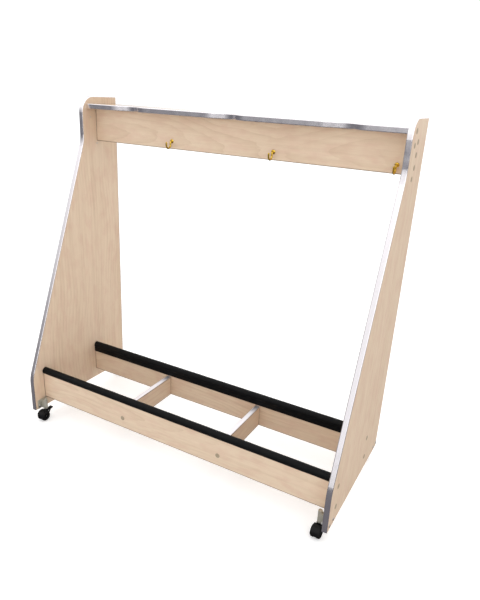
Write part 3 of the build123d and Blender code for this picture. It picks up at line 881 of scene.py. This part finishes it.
# %% Nuts
# A nut is turned in six steps, with its corners cut back at both ends, as the real one's are.
def nut_seat(low, high):
    """Point on the bracket's face under the nut, and the way the nut faces, into the rack."""
    sign = -1 if low.x > 0 else 1
    middle = (low + high) / 2
    base = high.x if sign < 0 else low.x
    return Vector((base, middle.y, middle.z)), Vector((sign, 0, 0))


NUT_CORNER = 10.0 / math.sqrt(3)
NUT_PROFILE = [(3.05, 0), (5.2, 0), (NUT_CORNER, 0.55), (NUT_CORNER, 4.4), (5.1, 5.0)]
NUT_PROFILE += [(3.7, 5.0), (3.05, 4.5)]
nut_mesh = turned("hex_nut", NUT_PROFILE, steel, steps=6, closed=True)
nut_mesh.transform(Matrix.Rotation(math.radians(30), 4, "Z"))
nut_mesh.polygons.foreach_set("use_smooth", [False] * len(nut_mesh.polygons))
set_out_piece("caster_nut_set", "caster_nuts", nut_mesh, "steel", nut_seat)

# %% Hook cups
def cup_seat(low, high):
    """Point on the apron's face, and the way out of it, to the front."""
    middle = (low + high) / 2
    return Vector((middle.x, high.y, middle.z)), Vector((0, -1, 0))


CUP_PROFILE = [(3.25, 0), (7.1, 0), (7.5, 0.35), (7.4, 0.9), (6.6, 1.7), (5.4, 2.4), (4.4, 2.85)]
CUP_PROFILE += [(3.75, 3.0), (3.25, 2.8)]
cup_mesh = turned("hook_cup", CUP_PROFILE, brass, steps=40, closed=True)
set_out_piece("hook_cup_domes", "hook_cups", cup_mesh, "brass", cup_seat)

# %% [markdown]
# ## Caster wheels
# Each caster has two moulded wheels. A wheel is turned: a flat tread, a well rounded outer shoulder
# and a dish with a hub in it. What a mould adds is a ring of ribs from hub to rim, which carry the load
# and keep the plastic thin. A second tree adds them, so their number and thickness stay easy to change.

# %% The rib tree
def make_ribs():
    """Ribs in a ring about Z, joined to the incoming wheel. Sizes are in metres."""
    sizes = {"Count": "Int", "Hub": "Float", "Length": "Float", "Width": "Float", "Height": "Float"}
    tree, given, put = new_tree("wheel_ribs", {**sizes, "Base": "Float", "Finish": "Material"})
    points = tree.nodes.new("GeometryNodePoints")
    tree.links.new(given["Count"], points.inputs["Count"])
    index = tree.nodes.new("GeometryNodeInputIndex")
    share = math_node(tree, "DIVIDE", index.outputs[0], given["Count"])
    angle = math_node(tree, "MULTIPLY", share, 2 * math.pi)
    middle = math_node(tree, "ADD", given["Hub"], math_node(tree, "MULTIPLY", given["Length"], 0.5))
    spot = tree.nodes.new("ShaderNodeCombineXYZ")
    tree.links.new(math_node(tree, "MULTIPLY", middle, math_node(tree, "COSINE", angle, 0)), spot.inputs[0])
    tree.links.new(math_node(tree, "MULTIPLY", middle, math_node(tree, "SINE", angle, 0)), spot.inputs[1])
    lift = math_node(tree, "ADD", given["Base"], math_node(tree, "MULTIPLY", given["Height"], 0.5))
    tree.links.new(lift, spot.inputs[2])
    tree.links.new(spot.outputs[0], points.inputs["Position"])
    size = tree.nodes.new("ShaderNodeCombineXYZ")
    for socket, label in zip(size.inputs, ("Length", "Width", "Height")):
        tree.links.new(given[label], socket)
    rib = tree.nodes.new("GeometryNodeMeshCube")
    tree.links.new(size.outputs[0], rib.inputs["Size"])
    euler = tree.nodes.new("ShaderNodeCombineXYZ")
    tree.links.new(angle, euler.inputs[2])
    turn = tree.nodes.new("FunctionNodeEulerToRotation")
    tree.links.new(euler.outputs[0], turn.inputs[0])
    ring = tree.nodes.new("GeometryNodeInstanceOnPoints")
    tree.links.new(points.outputs[0], ring.inputs["Points"])
    tree.links.new(rib.outputs["Mesh"], ring.inputs["Instance"])
    tree.links.new(turn.outputs[0], ring.inputs["Rotation"])
    both = tree.nodes.new("GeometryNodeJoinGeometry")
    tree.links.new(ring.outputs[0], both.inputs[0])
    tree.links.new(given["Geometry"], both.inputs[0])
    real = tree.nodes.new("GeometryNodeRealizeInstances")
    tree.links.new(both.outputs[0], real.inputs[0])
    finish = tree.nodes.new("GeometryNodeSetMaterial")
    tree.links.new(real.outputs[0], finish.inputs["Geometry"])
    tree.links.new(given["Finish"], finish.inputs["Material"])
    tree.links.new(finish.outputs[0], put["Geometry"])
    return tree


wheel_ribs = make_ribs()
print("the rib tree has", len(wheel_ribs.nodes), "nodes")

# %% Turn the wheels
BORE = 2.6
DISH = 2.5
HUB_RADIUS = 4.6
RIB_WIDTH = 1.3
RIB_END_GAP = 0.1
SHOULDER = 6.0
DISH_SETBACK = 7.0
SHOULDER_STEPS = 8
RIB_COUNT = 8


def wheel_profile(radius, width):
    """Closed (radius, height) outline of a wheel; height 0 is the side next to its twin."""
    floor = width - DISH
    profile = [(BORE, 0), (radius - 1.0, 0), (radius - 0.35, 0.3), (radius - 0.05, 1.0)]
    for i in range(SHOULDER_STEPS + 1):
        angle = math.pi / 2 * i / SHOULDER_STEPS
        across = radius - SHOULDER + SHOULDER * math.cos(angle)
        profile.append((across, width - SHOULDER + SHOULDER * math.sin(angle)))
    rim = radius - DISH_SETBACK
    profile += [(rim + 0.4, width - 0.1), (rim, width - 0.6), (rim - 0.3, floor)]
    profile += [(5.4, floor), (4.9, width - 0.9), (4.3, width - 0.5), (BORE, width - 0.5)]
    return profile


def caster_wheel(node):
    low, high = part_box(node)
    radius = (high.z - low.z) / 2 / MM
    width = (high.x - low.x) / MM
    body = turned(node + "_turned", wheel_profile(radius, width), tread, steps=56, closed=True)
    source = bpy.data.objects.new(node + "_turned", body)
    scene.collection.objects.link(source)
    floor = (width - DISH) * MM
    mesh = grow(
        source, wheel_ribs, node + "_moulded", Count=RIB_COUNT, Hub=HUB_RADIUS * MM, Width=RIB_WIDTH * MM,
        Length=(radius - DISH_SETBACK - HUB_RADIUS - RIB_END_GAP) * MM, Height=(DISH - 0.7) * MM,
        Base=floor - 0.1 * MM, Finish=tread,
    )
    bpy.data.objects.remove(source)
    facing = -90 if node.endswith("_left") else 90
    inner = high.x if facing < 0 else low.x
    middle = (low + high) / 2
    mesh.transform(Matrix.Rotation(math.radians(facing), 4, "Y"))
    mesh.transform(Matrix.Translation((inner, middle.y, middle.z)))
    body_name = node.replace("caster_wheel_", "wheel_")
    return new_piece(node + "_moulded", mesh, "wheel", node, body=body_name)


wheels = [caster_wheel(name) for name in sorted(nodes) if name.startswith("caster_wheel_")]
print(len(wheels), "wheels with", RIB_COUNT, "ribs each")
